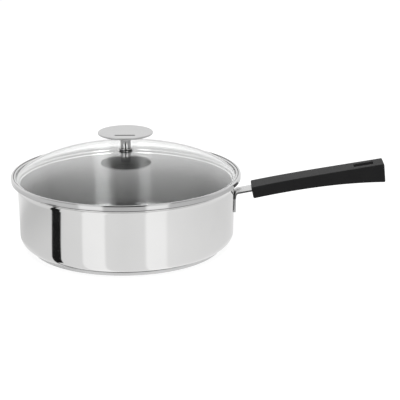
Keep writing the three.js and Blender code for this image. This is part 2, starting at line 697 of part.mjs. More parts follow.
const lid = new THREE.Group();
lid.add(
  piece('lid_glass', makeGlass(), CLEAR_GLASS),
  piece('rim_seal', makeSeal(), SILICONE),
  piece('rim_band', makeBand(), POLISHED_STEEL),
  knob,
);

const sautePan = new THREE.Group();
sautePan.add(pan, lid);

export default sautePan;
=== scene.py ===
"""Looks of a saute pan with a domed glass lid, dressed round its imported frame. Metres, +Z up."""

import math

import bmesh
import bpy
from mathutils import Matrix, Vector


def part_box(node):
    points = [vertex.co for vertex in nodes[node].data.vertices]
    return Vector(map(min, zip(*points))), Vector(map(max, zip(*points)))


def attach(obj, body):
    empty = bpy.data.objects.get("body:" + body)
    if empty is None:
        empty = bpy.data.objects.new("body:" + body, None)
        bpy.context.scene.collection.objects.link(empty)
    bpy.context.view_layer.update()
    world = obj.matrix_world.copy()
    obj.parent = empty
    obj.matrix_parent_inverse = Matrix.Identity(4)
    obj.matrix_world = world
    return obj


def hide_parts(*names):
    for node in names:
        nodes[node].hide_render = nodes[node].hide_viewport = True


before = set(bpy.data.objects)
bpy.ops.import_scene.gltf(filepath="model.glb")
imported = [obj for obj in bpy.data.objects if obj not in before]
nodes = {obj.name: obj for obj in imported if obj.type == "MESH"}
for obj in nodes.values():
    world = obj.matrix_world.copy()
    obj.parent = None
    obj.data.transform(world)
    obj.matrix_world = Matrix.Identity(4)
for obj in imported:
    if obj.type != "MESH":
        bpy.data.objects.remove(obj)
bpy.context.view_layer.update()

MM = 0.001

# Camera at the photograph's viewing angle
CAMERA_PLACE = (0.08277, -1.68574, 0.56662)
CAMERA_TILT = math.radians(73.03)
CAMERA_ROLL = math.radians(-0.25)
CAMERA_LENS = 140.53
CAMERA_SENSOR = 36.0

# Studio. Each stop is an angle in degrees and a brightness.
# Cards below the horizon go by the azimuth of a round wall that mirrors them to an eye looking
# along VIEW, 0 at the camera and positive to the right. So their reflections run down the wall.
VIEW = (0.0, 0.956, -0.292)
CARD_STOPS = (
    (-90.0, 0.74),
    (-80.0, 0.88),
    (-70.0, 0.9),
    (-36.0, 0.9),
    (-35.0, 0.96),
    (-22.6, 1.0),
    (-21.6, 1.24),
    (-10.6, 1.26),
    (-9.2, 1.02),
    (0.0, 0.99),
    (10.3, 1.02),
    (11.7, 1.26),
    (21.5, 1.24),
    (22.9, 1.08),
    (45.0, 1.0),
    (75.0, 0.96),
    (90.0, 0.76),
)
# Their azimuth drifts with the height near CARD_LEVEL, which suits the draft of the wall.
CARD_DRIFT = 0.244
CARD_SPREAD = 0.8
CARD_LEVEL = -0.335
CARD_REACH = 0.02
# The left cards darken upwards.
HIGH_STOPS = (
    (-90.0, 0.66),
    (-75.0, 0.74),
    (-44.0, 0.74),
    (-34.0, 0.93),
    (-22.6, 1.0),
    (-21.6, 1.24),
    (-10.6, 1.26),
    (-9.2, 1.02),
    (10.3, 1.02),
    (11.7, 1.26),
    (21.5, 1.24),
    (22.9, 1.06),
    (45.0, 0.96),
    (90.0, 0.86),
)
HIGH_RANGE = (-0.348, -0.322)
# Nearer the horizon the cards give way to others, which the lid's band mirrors.
EDGE_STOPS = (
    (-90.0, 0.95),
    (-42.0, 1.04),
    (-24.0, 1.12),
    (-22.5, 1.68),
    (-11.5, 1.7),
    (-10.0, 0.98),
    (0.0, 0.87),
    (10.0, 0.95),
    (11.5, 1.74),
    (21.5, 1.68),
    (23.0, 1.0),
    (45.0, 0.93),
    (90.0, 0.87),
)
EDGE_HEIGHT = (-0.312, -0.3)
# A flag makes the dark bar on the wall. FLAG_LEFT is the brightness that it leaves.
FLAG_AZIMUTH = (-41.4, -35.1)
FLAG_HEIGHT = (-0.78, -0.302)
FLAG_SOFTNESS = 0.004
FLAG_LEFT = 0.015
# The sky goes by its pitch: 0 at the back horizon, 90 overhead.
SKY_STOPS = (
    (0.0, 1.12),
    (8.0, 1.22),
    (17.0, 1.27),
    (25.0, 1.4),
    (32.0, 1.37),
    (41.0, 1.2),
    (52.0, 1.15),
    (63.0, 1.08),
    (75.0, 1.0),
    (90.0, 0.88),
    (100.0, 0.7),
    (180.0, 0.6),
)
# Tall panels in front, by wall azimuth.
PANEL_STOPS = (
    (-90.0, 0.72),
    (-24.5, 0.7),
    (-23.0, 1.35),
    (-11.5, 1.35),
    (-10.0, 0.03),
    (10.0, 0.03),
    (11.5, 1.35),
    (22.5, 1.35),
    (24.0, 0.62),
    (90.0, 0.62),
)
# Lamps in the panels show only in a second reflection.
LAMP_STOPS = (
    (-90.0, 0.72),
    (-24.5, 0.7),
    (-23.0, 4.5),
    (-11.5, 4.5),
    (-10.0, 0.06),
    (10.0, 0.06),
    (11.5, 4.5),
    (22.5, 4.5),
    (24.0, 0.62),
    (90.0, 0.62),
)
LAMP_HEIGHT = (0.1, 0.45)
LAMP_SOFTNESS = 0.03
# Strips that shine into the pan through the lid, by wall azimuth.
STRIP_STOPS = (
    (-90.0, 1.6),
    (-13.0, 1.6),
    (-11.6, 4.5),
    (-6.4, 4.5),
    (-5.0, 0.0),
    (9.7, 0.0),
    (11.2, 7.0),
    (17.8, 7.0),
    (19.3, 1.6),
    (90.0, 1.6),
)
# Heights from the cards to the sky, and pitches from the sky to the panels.
CARD_TOP = (-0.265, -0.2)
PANEL_TURN = (80.0, 105.0)
# Background to the eye, soft light on matte surfaces, key light and floor.
BACKGROUND = 1.0
AMBIENT = 0.5
KEY_POWER = 14.0
KEY_SIZE = 1.4
KEY_PLACE = (0.1, -0.35, 1.5)
FLOOR_REACH = 9.0
FLOOR_GLOW = 0.82
FLOOR_SHADE = 0.36

# Pan and base
PAN_SHEET = 1.0 * MM
WALL_DRAFT = math.radians(1.3)
CORNER_RADIUS = 12.5 * MM
LIP_RADIUS = 7.0 * MM
LIP_TURN = math.radians(75.0)
LIP_GAP = 0.3 * MM
CAP_SHEET = 0.8 * MM
CAP_GAP = 0.9 * MM
CAP_CORNER_RADIUS = 2.0 * MM

# Handle strap
STRAP_THICKNESS = 2.0 * MM
STRAP_WIDTH = 22.0 * MM
STRAP_EDGE = 0.5 * MM
STRAP_ROOT_HEIGHT = 62.6 * MM
STRAP_ANGLE = math.radians(10.6)
STRAP_BEND_RADIUS = 4.0 * MM
# EDGE_DEPTH: how far below the strap's root its cut edges get painted shade.
EDGE_DEPTH = 6.0 * MM
FLANGE_WIDTH = 26.0 * MM
FOOT_CORNER = 4.0 * MM
TANG_WIDTH = 17.0 * MM
TANG_LENGTH = 62.0 * MM
DART_DEPTH = 1.6 * MM
DART_WIDTH = 5.0 * MM
DART_LENGTH = 17.0 * MM
FIT_GAP = 0.3 * MM
WELD_RADIUS = 2.4 * MM
WELD_DEPTH = 0.35 * MM
WELD_SPREAD = 7.5 * MM
WELD_HEIGHTS = (45.6 * MM, 50.4 * MM)

# Grip
GRIP_START = 141.4 * MM
GRIP_LENGTH = 149.6 * MM
GRIP_DROP = 1.6 * MM
GRIP_START_ANGLE = math.radians(12.0)
GRIP_END_ANGLE = math.radians(5.0)
GRIP_WIDTHS = (31.0 * MM, 27.0 * MM)
GRIP_HEIGHTS = (13.1 * MM, 21.3 * MM)
GRIP_EDGES = (1.6 * MM, 1.4 * MM)
GRIP_SWELL = 3
GRIP_END_ROUND = 1.4 * MM
SLOT_LENGTH = 23.0 * MM
SLOT_WIDTH = 9.6 * MM
SLOT_CORNER = 2.0 * MM
SLOT_END_WALL = 10.5 * MM
SLOT_LIP = 0.6 * MM
SCREW_DISTANCE = 44.0 * MM
SCREW_BORE = 9.2 * MM
SCREW_SEAT = -4.65 * MM
SCREW_HEAD = 4.3 * MM
SCREW_SHANK = 2.5 * MM
SCREW_TALL = 2.0 * MM
SCREW_LENGTH = 8.8 * MM
SCREW_RECESS = (2.4 * MM, 2.0 * MM)
SOCKET_LEAD = 4.0 * MM

# Lid glass and rim
GLASS_THICKNESS = 3.0 * MM
GLASS_RIM_WIDTH = 3.6 * MM
GLASS_CROWN_REACH = 74.0 * MM
GLASS_SHOULDER_ANGLE = math.radians(39.0)
GLASS_SHOULDER_LENGTH = 22.0 * MM
GLASS_BEND = 0.4 * MM
GLASS_HOLE_RADIUS = 5.0 * MM
SEAL_THICKNESS = 0.4 * MM
SEAL_DEPTH = 3.0 * MM
BAND_SHEET = 0.5 * MM
BAND_TOP_REACH = 3.6 * MM
HEEL_RADIUS = 0.8 * MM
BEAD_RADIUS = 1.6 * MM
BEAD_RISE = 0.3 * MM
GROOVE_DEPTH = 0.5 * MM
GROOVE_RADIUS = 0.25 * MM
# GROOVE_SHADE is how far either side of the groove the band gets painted shade.
GROOVE_SHADE = 0.65 * MM
LEG_EDGE = 0.3 * MM
LEG_DROP = 0.4 * MM
HEM_RADIUS = 0.9 * MM
HEM_START = math.radians(80.0)
SEAT_GAP = 0.1 * MM
SKIRT_CLEARANCE = 1.4 * MM

# Knob and its fixing
KNOB_EDGE = 0.7 * MM
KNOB_BORE = 3.3 * MM
KNOB_SLOT_LENGTH = 23.0 * MM
KNOB_SLOT_WIDTH = 3.0 * MM
KNOB_SLOT_OFFSET = 16.0 * MM
KNOB_SLOT_LIP = 0.25 * MM
KNOB_SCREW_SHANK = 3.0 * MM
KNOB_SCREW_TALL = 3.4 * MM
KNOB_RECESS = (3.0 * MM, 2.6 * MM)
BUSH_FLANGE = 1.2 * MM
SMALL_EDGE = 0.25 * MM

# Painted shade: dark lines in the seams of the steel, where faces stand close
SEAM_REACH = 0.8 * MM
SEAM_OPEN = (0.55, 0.95)
SEAM_SHADE = 0.04
SEAM_SAMPLES = 8
# Painted shade: the pan's inside darkens towards its floor.
DEEP_HEIGHT = 24.0 * MM
DEEP_SHADE = 0.4

# Finishes. Marks are a noise scale across them and the strength of their relief.
POLISH_MARKS = (900.0, 0.02)
SATIN_MARKS = (1500.0, 0.08)
FINE_MARKS = (1500.0, 0.05)
BRUSH_MARKS = (1500.0, 0.12)
CUT_MARKS = (1500.0, 0.1)
SOFT_METAL_MARKS = (1200.0, 0.1)
MARK_DEPTH = 0.02 * MM
MARK_DRIFT = 0.02
BRUSH_TURN = 0.25
CLOUD_SCALE = 18.0
CLOUD_STOPS = (0.3, 0.7)
FLECK_SCALE = 60.0
GRAIN_SCALE = 2600.0
GRAIN_DEPTH = 0.05 * MM
GLASS_TINT = (0.985, 0.992, 0.988)
GLASS_INDEX = 1.5
SMUDGE_SCALE = 30.0
SMUDGE_ROUGHNESS = (0.0, 0.012)
FULL_DETAIL = 3.0

# Facets
ROUND_SIDES = 288
SMALL_SIDES = 96
HEX_SIDES = 6
ARC_STEPS = 10
DOME_STEPS = 48
GRIP_STEPS = 72
STRAP_ACROSS = 44
FLANGE_STEPS = 30
BAR_STEPS = 24
SHARP_ANGLE = math.radians(32.0)
STEEP = 0.7
TINY = 1e-7


# Curves and directions


def mix(a, b, share):
    return a + (b - a) * share


def ease(share):
    share = min(max(share, 0), 1)
    return share * share * (3 - 2 * share)


def bezier(a, b, c, d, steps):
    points = []
    for i in range(steps + 1):
        t = i / steps
        s = 1 - t
        points.append(a * s**3 + b * (3 * s * s * t) + c * (3 * s * t * t) + d * t**3)
    return points


def heading(angle):
    """The direction in the XZ plane that rises at an angle from +X."""
    return Vector((math.cos(angle), 0, math.sin(angle)))


def square_to(angle):
    """The direction square to a heading, on its upper side."""
    return Vector((-math.sin(angle), 0, math.cos(angle)))


def direction(start, end):
    """The angle of the way from one point to another."""
    return math.atan2(end.y - start.y, end.x - start.x)


# Outlines in the plane of radius and height


def as_points(pairs):
    return [Vector(pair) for pair in pairs]


def arc(centre, radius, start, end, steps=ARC_STEPS):
    x, y = centre
    angles = [start + (end - start) * i / steps for i in range(steps + 1)]
    return as_points([(x + radius * math.cos(a), y + radius * math.sin(a)) for a in angles])


def distinct(points):
    kept = [points[0]]
    for point in points[1:]:
        if (point - kept[-1]).length > TINY:
            kept.append(point)
    return kept


def offset_line(points, distance):
    """Moves a line of points to its left, with mitred corners."""
    moved = []
    for i, point in enumerate(points):
        before = points[i - 1] if i else point - (points[1] - point)
        after = points[i + 1] if i + 1 < len(points) else point + (point - before)
        incoming = (point - before).normalized()
        tangent = (incoming + (after - point).normalized()).normalized()
        left = Vector((-tangent.y, tangent.x))
        moved.append(point + left * (distance / incoming.dot(tangent)))
    return moved


def end_cap(near, far):
    """A half round from one point to another."""
    middle = (near + far) / 2
    start = direction(middle, near)
    return arc(middle, (near - far).length / 2, start, start + math.pi)[1:-1]


def sheet_outline(line, thickness, round_end=False):
    """A sheet whose near face is the line and whose far face lies to its left."""
    near = distinct(line)
    far = offset_line(near, thickness)
    rounding = end_cap(near[-1], far[-1]) if round_end else []
    return near + rounding + far[::-1]


def rounded_polygon(corners, radius):
    """A closed outline with each corner eased by an arc. Points on the axis stay sharp."""
    outline = []
    for i, corner in enumerate(corners):
        before = (corners[i - 1] - corner).normalized()
        after = (corners[(i + 1) % len(corners)] - corner).normalized()
        if corner.x < TINY:
            outline.append(corner)
            continue
        bend = before.angle(after) / 2
        setback = radius / math.tan(bend)
        centre = corner + (before + after).normalized() * (radius / math.sin(bend))
        first = corner + before * setback - centre
        last = corner + after * setback - centre
        start = math.atan2(first.y, first.x)
        turn = first.angle_signed(last) * -1
        outline += arc(centre, radius, start, start + turn, ARC_STEPS // 2)
    return outline


def box_outline(inner, outer, bottom, top):
    corners = [(inner, bottom), (outer, bottom), (outer, top), (inner, top)]
    return rounded_polygon(as_points(corners), SMALL_EDGE)


def rounded_rectangle(width, height, radius, across=1, steps=ARC_STEPS):
    """An anticlockwise outline whose long sides are divided into equal steps."""
    x, y = width / 2 - radius, height / 2 - radius
    outline = []
    for side in (1, -1):
        spots = [side * x * (1 - 2 * i / across) for i in range(across)]
        outline += as_points([(spot, side * height / 2) for spot in spots])
        start = math.pi / 2 * side
        middle, end = start + math.pi / 2, start + math.pi
        outline += arc((-side * x, side * y), radius, start, middle, steps)
        outline += arc((-side * x, -side * y), radius, middle, end, steps)[:-1]
    return distinct(outline)


def lip_depths(lip):
    """Depths below a face at which the rounded mouth of a slot is drawn."""
    return [-2 * lip] + [lip * i / ARC_STEPS for i in range(ARC_STEPS + 1)]


def lip_flare(lip, depth):
    """How far the rounded mouth of a slot widens at a depth."""
    inside = lip - max(depth, 0)
    return lip - math.sqrt(lip**2 - inside**2)


def screw_outline(head, shank, bottom, top, end):
    """Half of a screw that stands on its head."""
    corners = [(0, bottom), (head, bottom), (head, top), (shank, top), (shank, end), (0, end)]
    return rounded_polygon(as_points(corners), SMALL_EDGE)


def recess_outline(radii, low, high):
    """Half of a tapered recess."""
    return as_points([(0, low), (radii[0], low), (radii[1], high), (0, high)])


# Meshes


def make_mesh(name, verts, faces):
    mesh = bpy.data.meshes.new(name)
    mesh.from_pydata(verts, [], faces)
    work = bmesh.new()
    work.from_mesh(mesh)
    bmesh.ops.recalc_face_normals(work, faces=work.faces)
    work.to_mesh(mesh)
    work.free()
    return mesh


def lathe(name, outline, sides=ROUND_SIDES):
    """Turns a closed outline about the Z axis. The faces run in the outline's order."""
    verts, rings, faces = [], [], []
    for radius, height in outline:
        count = 1 if radius < TINY else sides
        rings.append([len(verts) + i for i in range(count)])
        for i in range(count):
            turn = math.tau * i / sides
            verts.append((radius * math.cos(turn), radius * math.sin(turn), height))
    for ring, after in zip(rings, rings[1:] + rings[:1]):
        if len(ring) == len(after) == 1:
            continue
        for i in range(sides):
            j = (i + 1) % sides
            spots = ((ring, i), (ring, j), (after, j), (after, i))
            corners = [loop[k % len(loop)] for loop, k in spots]
            faces.append(list(dict.fromkeys(corners)))
    return make_mesh(name, verts, faces)


def loft(name, sections):
    """Skins a row of closed sections with an equal count of points, with flat ends."""
    count = len(sections[0])
    verts = [point for section in sections for point in section]
    faces = [list(range(count))[::-1], [len(verts) - count + i for i in range(count)]]
    for s in range(len(sections) - 1):
        for i in range(count):
            a, b = s * count + i, s * count + (i + 1) % count
            faces.append([a, b, b + count, a + count])
    return make_mesh(name, verts, faces)


def add_object(name, data):
    made = bpy.data.objects.new(name, data)
    bpy.context.scene.collection.objects.link(made)
    return made


def cut(mesh, *cutters):
    """The mesh with the cutter meshes taken away."""
    target = add_object(mesh.name + "_whole", mesh)
    tools = [add_object(cutter.name, cutter) for cutter in cutters]
    for tool in tools:
        step = target.modifiers.new(tool.name, "BOOLEAN")
        step.operation = "DIFFERENCE"
        step.solver = "EXACT"
        step.object = tool
    depsgraph = bpy.context.evaluated_depsgraph_get()
    result = bpy.data.meshes.new_from_object(target.evaluated_get(depsgraph))
    for used in [target, *tools]:
        bpy.data.objects.remove(used)
    return result


def dress(name, mesh, material, body, slot, *replaced):
    """A piece made from a mesh, with its finish, the body it rides on and the nodes it stands for."""
    mesh.materials.clear()
    mesh.materials.append(material)
    mesh.shade_smooth()
    mesh.set_sharp_from_angle(angle=SHARP_ANGLE)
    piece = add_object(name, mesh)
    piece.modifiers.new("flat_faces", "WEIGHTED_NORMAL").keep_sharp = True
    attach(piece, body)
    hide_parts(*replaced)
    return piece


def paint(mesh, material, chosen):
    """Gives another material to the faces that a test chooses."""
    mesh.materials.append(material)
    for face in mesh.polygons:
        if chosen(face):
            face.material_index = len(mesh.materials) - 1


def reach(node):
    """The largest distance of a node from the Z axis."""
    return max(vertex.co.xy.length for vertex in nodes[node].data.vertices)


# Materials


def new_material(name):
    material = bpy.data.materials.new(name)
    material.use_nodes = True
    return material, material.node_tree, material.node_tree.nodes["Principled BSDF"]


def add_node(tree, kind, inputs=(), **settings):
    """A node with its settings and with input values or links given by socket name or number."""
    made = tree.nodes.new(kind)
    for key, value in settings.items():
        setattr(made, key, value)
    for socket, value in dict(inputs).items():
        if isinstance(value, bpy.types.NodeSocket):
            tree.links.new(value, made.inputs[socket])
        else:
            made.inputs[socket].default_value = value
    return made


def math_node(tree, operation, *values):
    return add_node(tree, "ShaderNodeMath", dict(enumerate(values)), operation=operation).outputs[0]


def ranged(tree, value, before, after=(0.0, 1.0)):
    """The value, carried from one range to another and held at its ends."""
    limits = {"From Min": before[0], "From Max": before[1], "To Min": after[0], "To Max": after[1]}
    return add_node(tree, "ShaderNodeMapRange", {"Value": value, **limits}).outputs[0]


def shaded(tree, colour, share):
    """The colour, scaled by a share."""
    inputs = {0: colour, "Scale": share}
    return add_node(tree, "ShaderNodeVectorMath", inputs, operation="SCALE").outputs[0]


def grey(level):
    return (level, level, level)


def object_place(tree):
    return add_node(tree, "ShaderNodeTexCoord").outputs["Object"]


def turned_place(tree):
    """Coordinates that change across the marks of turning or brushing, and hardly along them."""
    place = object_place(tree)
    flat = add_node(tree, "ShaderNodeVectorMath", {0: place, 1: (1, 1, 0)}, operation="MULTIPLY")
    radius = add_node(tree, "ShaderNodeVectorMath", {0: flat.outputs[0]}, operation="LENGTH")
    parts = add_node(tree, "ShaderNodeSeparateXYZ", {0: place}).outputs
    slow = math_node(tree, "MULTIPLY", parts["X"], MARK_DRIFT)
    turned = {"X": radius.outputs["Value"], "Y": slow, "Z": parts["Z"]}
    return add_node(tree, "ShaderNodeCombineXYZ", turned).outputs[0]


def noise(tree, place, scale, detail=2.0):
    inputs = {"Vector": place, "Scale": scale, "Detail": detail}
    return add_node(tree, "ShaderNodeTexNoise", inputs).outputs[0]


def shade_between(tree, value, dark, light):
    ramp = add_node(tree, "ShaderNodeValToRGB", {"Fac": value})
    for mark, position, colour in zip(ramp.color_ramp.elements, CLOUD_STOPS, (dark, light)):
        mark.position = position
        mark.color = (*colour, 1)
    return ramp.outputs[0]


def with_seam_shade(tree, colour, own):
    """The colour with painted shade, darkened where another face stands close. With own, only the
    piece's faces count.
    """
    settings = {"samples": SEAM_SAMPLES, "only_local": own}
    near = add_node(tree, "ShaderNodeAmbientOcclusion", {"Distance": SEAM_REACH}, **settings)
    return shaded(tree, colour, ranged(tree, near.outputs["AO"], SEAM_OPEN, (SEAM_SHADE, 1.0)))


def with_shade_below(tree, colour, height):
    """The colour with painted shade, darkened towards the floor of the pan."""
    place = add_node(tree, "ShaderNodeSeparateXYZ", {0: object_place(tree)})
    return shaded(tree, colour, ranged(tree, place.outputs["Z"], (0.0, height), (DEEP_SHADE, 1.0)))


def add_relief(tree, shader, height, strength, depth):
    relief = {"Height": height, "Strength": strength, "Distance": depth}
    tree.links.new(add_node(tree, "ShaderNodeBump", relief).outputs[0], shader.inputs["Normal"])


def add_roughness(tree, shader, value, roughness):
    tree.links.new(ranged(tree, value, (0.0, 1.0), roughness), shader.inputs["Roughness"])


def brush_round(tree, shader, anisotropic):
    """Stretches the highlights across marks that run round the Z axis."""
    shader.inputs["Anisotropic"].default_value = anisotropic
    shader.inputs["Anisotropic Rotation"].default_value = BRUSH_TURN
    tangent = add_node(tree, "ShaderNodeTangent", direction_type="RADIAL", axis="Z")
    tree.links.new(tangent.outputs[0], shader.inputs["Tangent"])


def steel(name, dark, light, roughness, marks, anisotropic=0.0, own=False, shade_height=0.0):
    """Steel with marks of polishing or brushing round the Z axis and painted shade in its seams. It
    can also get painted shade towards the pan's floor.
    """
    material, tree, shader = new_material(name)
    lines, strength = marks
    fine = noise(tree, turned_place(tree), lines)
    cloud = noise(tree, object_place(tree), CLOUD_SCALE)
    # Painted shade: the colour darkens in the seams.
    colour = with_seam_shade(tree, shade_between(tree, cloud, dark, light), own)
    if shade_height:
        colour = with_shade_below(tree, colour, shade_height)
    shader.inputs["Metallic"].default_value = 1.0
    tree.links.new(colour, shader.inputs["Base Color"])
    add_roughness(tree, shader, fine, roughness)
    add_relief(tree, shader, fine, strength, MARK_DEPTH)
    if anisotropic:
        brush_round(tree, shader, anisotropic)
    return material


def moulding(name, dark, light, roughness, specular, grain):
    """Moulded plastic or silicone with a fine eroded grain."""
    material, tree, shader = new_material(name)
    place = object_place(tree)
    coarse = noise(tree, place, FLECK_SCALE, FULL_DETAIL)
    fine = noise(tree, place, GRAIN_SCALE)
    tree.links.new(shade_between(tree, coarse, dark, light), shader.inputs["Base Color"])
    shader.inputs["Specular IOR Level"].default_value = specular
    add_roughness(tree, shader, fine, roughness)
    add_relief(tree, shader, fine, grain, GRAIN_DEPTH)
    return material


def clear_glass(name):
    """Clear glass with faint smudges."""
    material, tree, shader = new_material(name)
    shader.inputs["Base Color"].default_value = (*GLASS_TINT, 1)
    shader.inputs["Transmission Weight"].default_value = 1.0
    shader.inputs["IOR"].default_value = GLASS_INDEX
    smudge = noise(tree, object_place(tree), SMUDGE_SCALE, FULL_DETAIL)
    add_roughness(tree, shader, smudge, SMUDGE_ROUGHNESS)
    return material


# Each metal has a dark and a light shade, a range of roughness, and marks.
polished = steel(
    "polished_steel", (0.645, 0.643, 0.64), (0.665, 0.663, 0.66), (0.03, 0.08), POLISH_MARKS
)
band_steel = steel("band_steel", grey(0.44), grey(0.46), (0.03, 0.08), POLISH_MARKS, own=True)
# A lighter copy of the band's steel: a painted highlight along the hem's edge.
hem_highlight_steel = steel("hem_highlight_steel", grey(0.84), grey(0.88), (0.1, 0.16), POLISH_MARKS, own=True)
# A near-black copy of the steel: painted shade in the groove beside the bead.
groove_shade_steel = steel("groove_shade_steel", grey(0.04), grey(0.06), (0.3, 0.4), POLISH_MARKS)
stem_steel = steel("stem_steel", grey(0.34), grey(0.36), (0.02, 0.05), POLISH_MARKS, own=True)
# The pan's inside, with painted shade towards its floor.
satin_inside = steel(
    "satin_inside", grey(0.3), grey(0.34), (0.28, 0.38), BRUSH_MARKS, anisotropic=1.0, shade_height=DEEP_HEIGHT
)
satin = steel("satin_steel", grey(0.57), grey(0.61), (0.42, 0.52), SATIN_MARKS, own=True)
strap_satin = steel("strap_steel", grey(0.42), grey(0.46), (0.2, 0.32), SATIN_MARKS)
knob_satin = steel("knob_steel", grey(0.46), grey(0.48), (0.36, 0.44), FINE_MARKS, own=True)
# Dark steel: painted shade on the strap's cut edges and the walls of the knob's slot.
edge_shade_steel = steel("edge_shade_steel", grey(0.1), grey(0.14), (0.3, 0.45), CUT_MARKS)
core_metal = steel(
    "core_aluminium", (0.62, 0.62, 0.63), (0.7, 0.7, 0.71), (0.35, 0.5), SOFT_METAL_MARKS
)
brass = steel("insert_brass", (0.55, 0.4, 0.16), (0.62, 0.46, 0.2), (0.3, 0.45), SOFT_METAL_MARKS)
# Each moulding has a dark and a light shade, a range of roughness, a specular level and a grain.
black = moulding(
    "black_moulding", (0.011, 0.011, 0.0115), (0.014, 0.014, 0.0145), (0.56, 0.66), 0.18, 0.25
)
silicone = moulding("silicone", grey(0.03), grey(0.045), (0.5, 0.65), 0.4, 0.2)
pale_silicone = moulding("pale_silicone", grey(0.5), grey(0.56), (0.5, 0.65), 0.4, 0.2)
glass = clear_glass("clear_glass")


# Pan and base

pan_low, pan_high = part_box("pan_body")
cap_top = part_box("base_cap")[1].z
lip_edge = reach("pan_body")
lip_wall = lip_edge - LIP_RADIUS * (math.cos(WALL_DRAFT) - math.cos(LIP_TURN))
lip_rise = LIP_RADIUS * (math.sin(LIP_TURN) - math.sin(WALL_DRAFT))
lip_start = pan_high.z - LIP_GAP - PAN_SHEET * math.sin(LIP_TURN) - lip_rise


def wall_radius(height):
    return lip_wall + math.tan(WALL_DRAFT) * (height - lip_start)


def make_pan():
    bottom = pan_low.z
    corner_top = bottom + CORNER_RADIUS * (1 - math.sin(WALL_DRAFT))
    corner = wall_radius(corner_top) - CORNER_RADIUS * math.cos(WALL_DRAFT)
    lip_centre = (
        lip_wall + LIP_RADIUS * math.cos(WALL_DRAFT),
        lip_start - LIP_RADIUS * math.sin(WALL_DRAFT),
    )
    lip_end = LIP_TURN - PAN_SHEET / 2 / LIP_RADIUS
    line = [Vector((0, bottom))]
    line += arc((corner, bottom + CORNER_RADIUS), CORNER_RADIUS, -math.pi / 2, -WALL_DRAFT)
    line += arc(lip_centre, LIP_RADIUS, math.pi - WALL_DRAFT, math.pi - lip_end)
    mesh = lathe("pan", sheet_outline(line, PAN_SHEET, round_end=True))
    dress("pan", mesh, polished, "pan", "polished_steel", "pan_body")
    last_outside = (len(distinct(line)) + ARC_STEPS) * ROUND_SIDES
    paint(mesh, satin_inside, lambda face: face.index > last_outside)


def make_cap():
    radius = reach("base_cap")
    line = [Vector((0, 0))]
    line += arc((radius - CAP_CORNER_RADIUS, CAP_CORNER_RADIUS), CAP_CORNER_RADIUS, -math.pi / 2, 0)
    line += [Vector((radius, cap_top - CAP_GAP - CAP_SHEET / 2))]
    mesh = lathe("base_cap", sheet_outline(line, CAP_SHEET, round_end=True))
    dress("cap", mesh, satin, "pan", "satin_steel", "base_cap")


def make_core():
    low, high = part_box("base_core")
    radius = reach("base_core")
    inner, rise = radius - CAP_CORNER_RADIUS, low.z + CAP_CORNER_RADIUS
    outline = [(0, low.z), (inner, low.z), (radius, rise), (radius, high.z), (0, high.z)]
    mesh = lathe("base_core", as_points(outline))
    dress("core", mesh, core_metal, "pan", "aluminium_core", "base_core")


# Handle strap

flange_middle = wall_radius(STRAP_ROOT_HEIGHT) + FIT_GAP + STRAP_THICKNESS / 2
strap_root = Vector((flange_middle, 0, STRAP_ROOT_HEIGHT))
strap_along = heading(STRAP_ANGLE)
strap_up = square_to(STRAP_ANGLE)
grip_front = strap_root + strap_along * ((GRIP_START - flange_middle) / strap_along.x)
tang_end = grip_front + strap_along * TANG_LENGTH
flange_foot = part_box("handle_strap")[0].z
flange_tilt = math.pi / 2 - WALL_DRAFT
flange_along = heading(flange_tilt)
strap_turn = flange_tilt - STRAP_ANGLE
bend_setback = STRAP_BEND_RADIUS * math.tan(strap_turn / 2)
bend_start = strap_root - flange_along * bend_setback
bend_end = strap_root + strap_along * bend_setback


def strap_width(point):
    into_grip = (point.x - grip_front.x) / (tang_end.x - grip_front.x)
    if into_grip > 0:
        return mix(STRAP_WIDTH, TANG_WIDTH, into_grip)
    towards_foot = (STRAP_ROOT_HEIGHT - point.z) / (STRAP_ROOT_HEIGHT - flange_foot)
    return mix(STRAP_WIDTH, FLANGE_WIDTH, max(towards_foot, 0))


# Stations follow the strap's middle line. Each has a point, the line's tilt, how much the wall's curve
# counts, and how far the sides draw in.


def flange_stations():
    """The flange on the wall, with round corners at its foot."""
    foot = strap_root - flange_along * ((STRAP_ROOT_HEIGHT - flange_foot) / flange_along.z)
    shoulder = foot + flange_along * FOOT_CORNER
    stations = []
    for i in range(ARC_STEPS):
        angle = math.pi / 2 * i / ARC_STEPS
        point = foot.lerp(shoulder, 1 - math.cos(angle))
        stations.append((point, flange_tilt, 1, FOOT_CORNER * (1 - math.sin(angle))))
    for i in range(FLANGE_STEPS):
        stations.append((shoulder.lerp(bend_start, i / FLANGE_STEPS), flange_tilt, 1, 0))
    return stations


def arm_stations():
    """The bend, the bar and the tang inside the grip."""
    centre = bend_start - square_to(flange_tilt) * STRAP_BEND_RADIUS
    stations = []
    for i in range(ARC_STEPS):
        angle = flange_tilt - strap_turn * i / ARC_STEPS
        point = centre + square_to(angle) * STRAP_BEND_RADIUS
        stations.append((point, angle, 1 - i / ARC_STEPS, 0))
    for i in range(BAR_STEPS):
        stations.append((bend_end.lerp(grip_front, i / BAR_STEPS), STRAP_ANGLE, 0, 0))
    stations += [(end, STRAP_ANGLE, 0, 0) for end in (grip_front, tang_end)]
    return stations


def weld_dent(point, y):
    """Depth of the spot welds' dents in the outer face of the flange."""
    depth = 0
    for height in WELD_HEIGHTS:
        for side in (-1, 1):
            distance = math.hypot(point.z - height, y - side * WELD_SPREAD)
            depth += WELD_DEPTH * ease(2 * (1 - distance / WELD_RADIUS))
    return depth


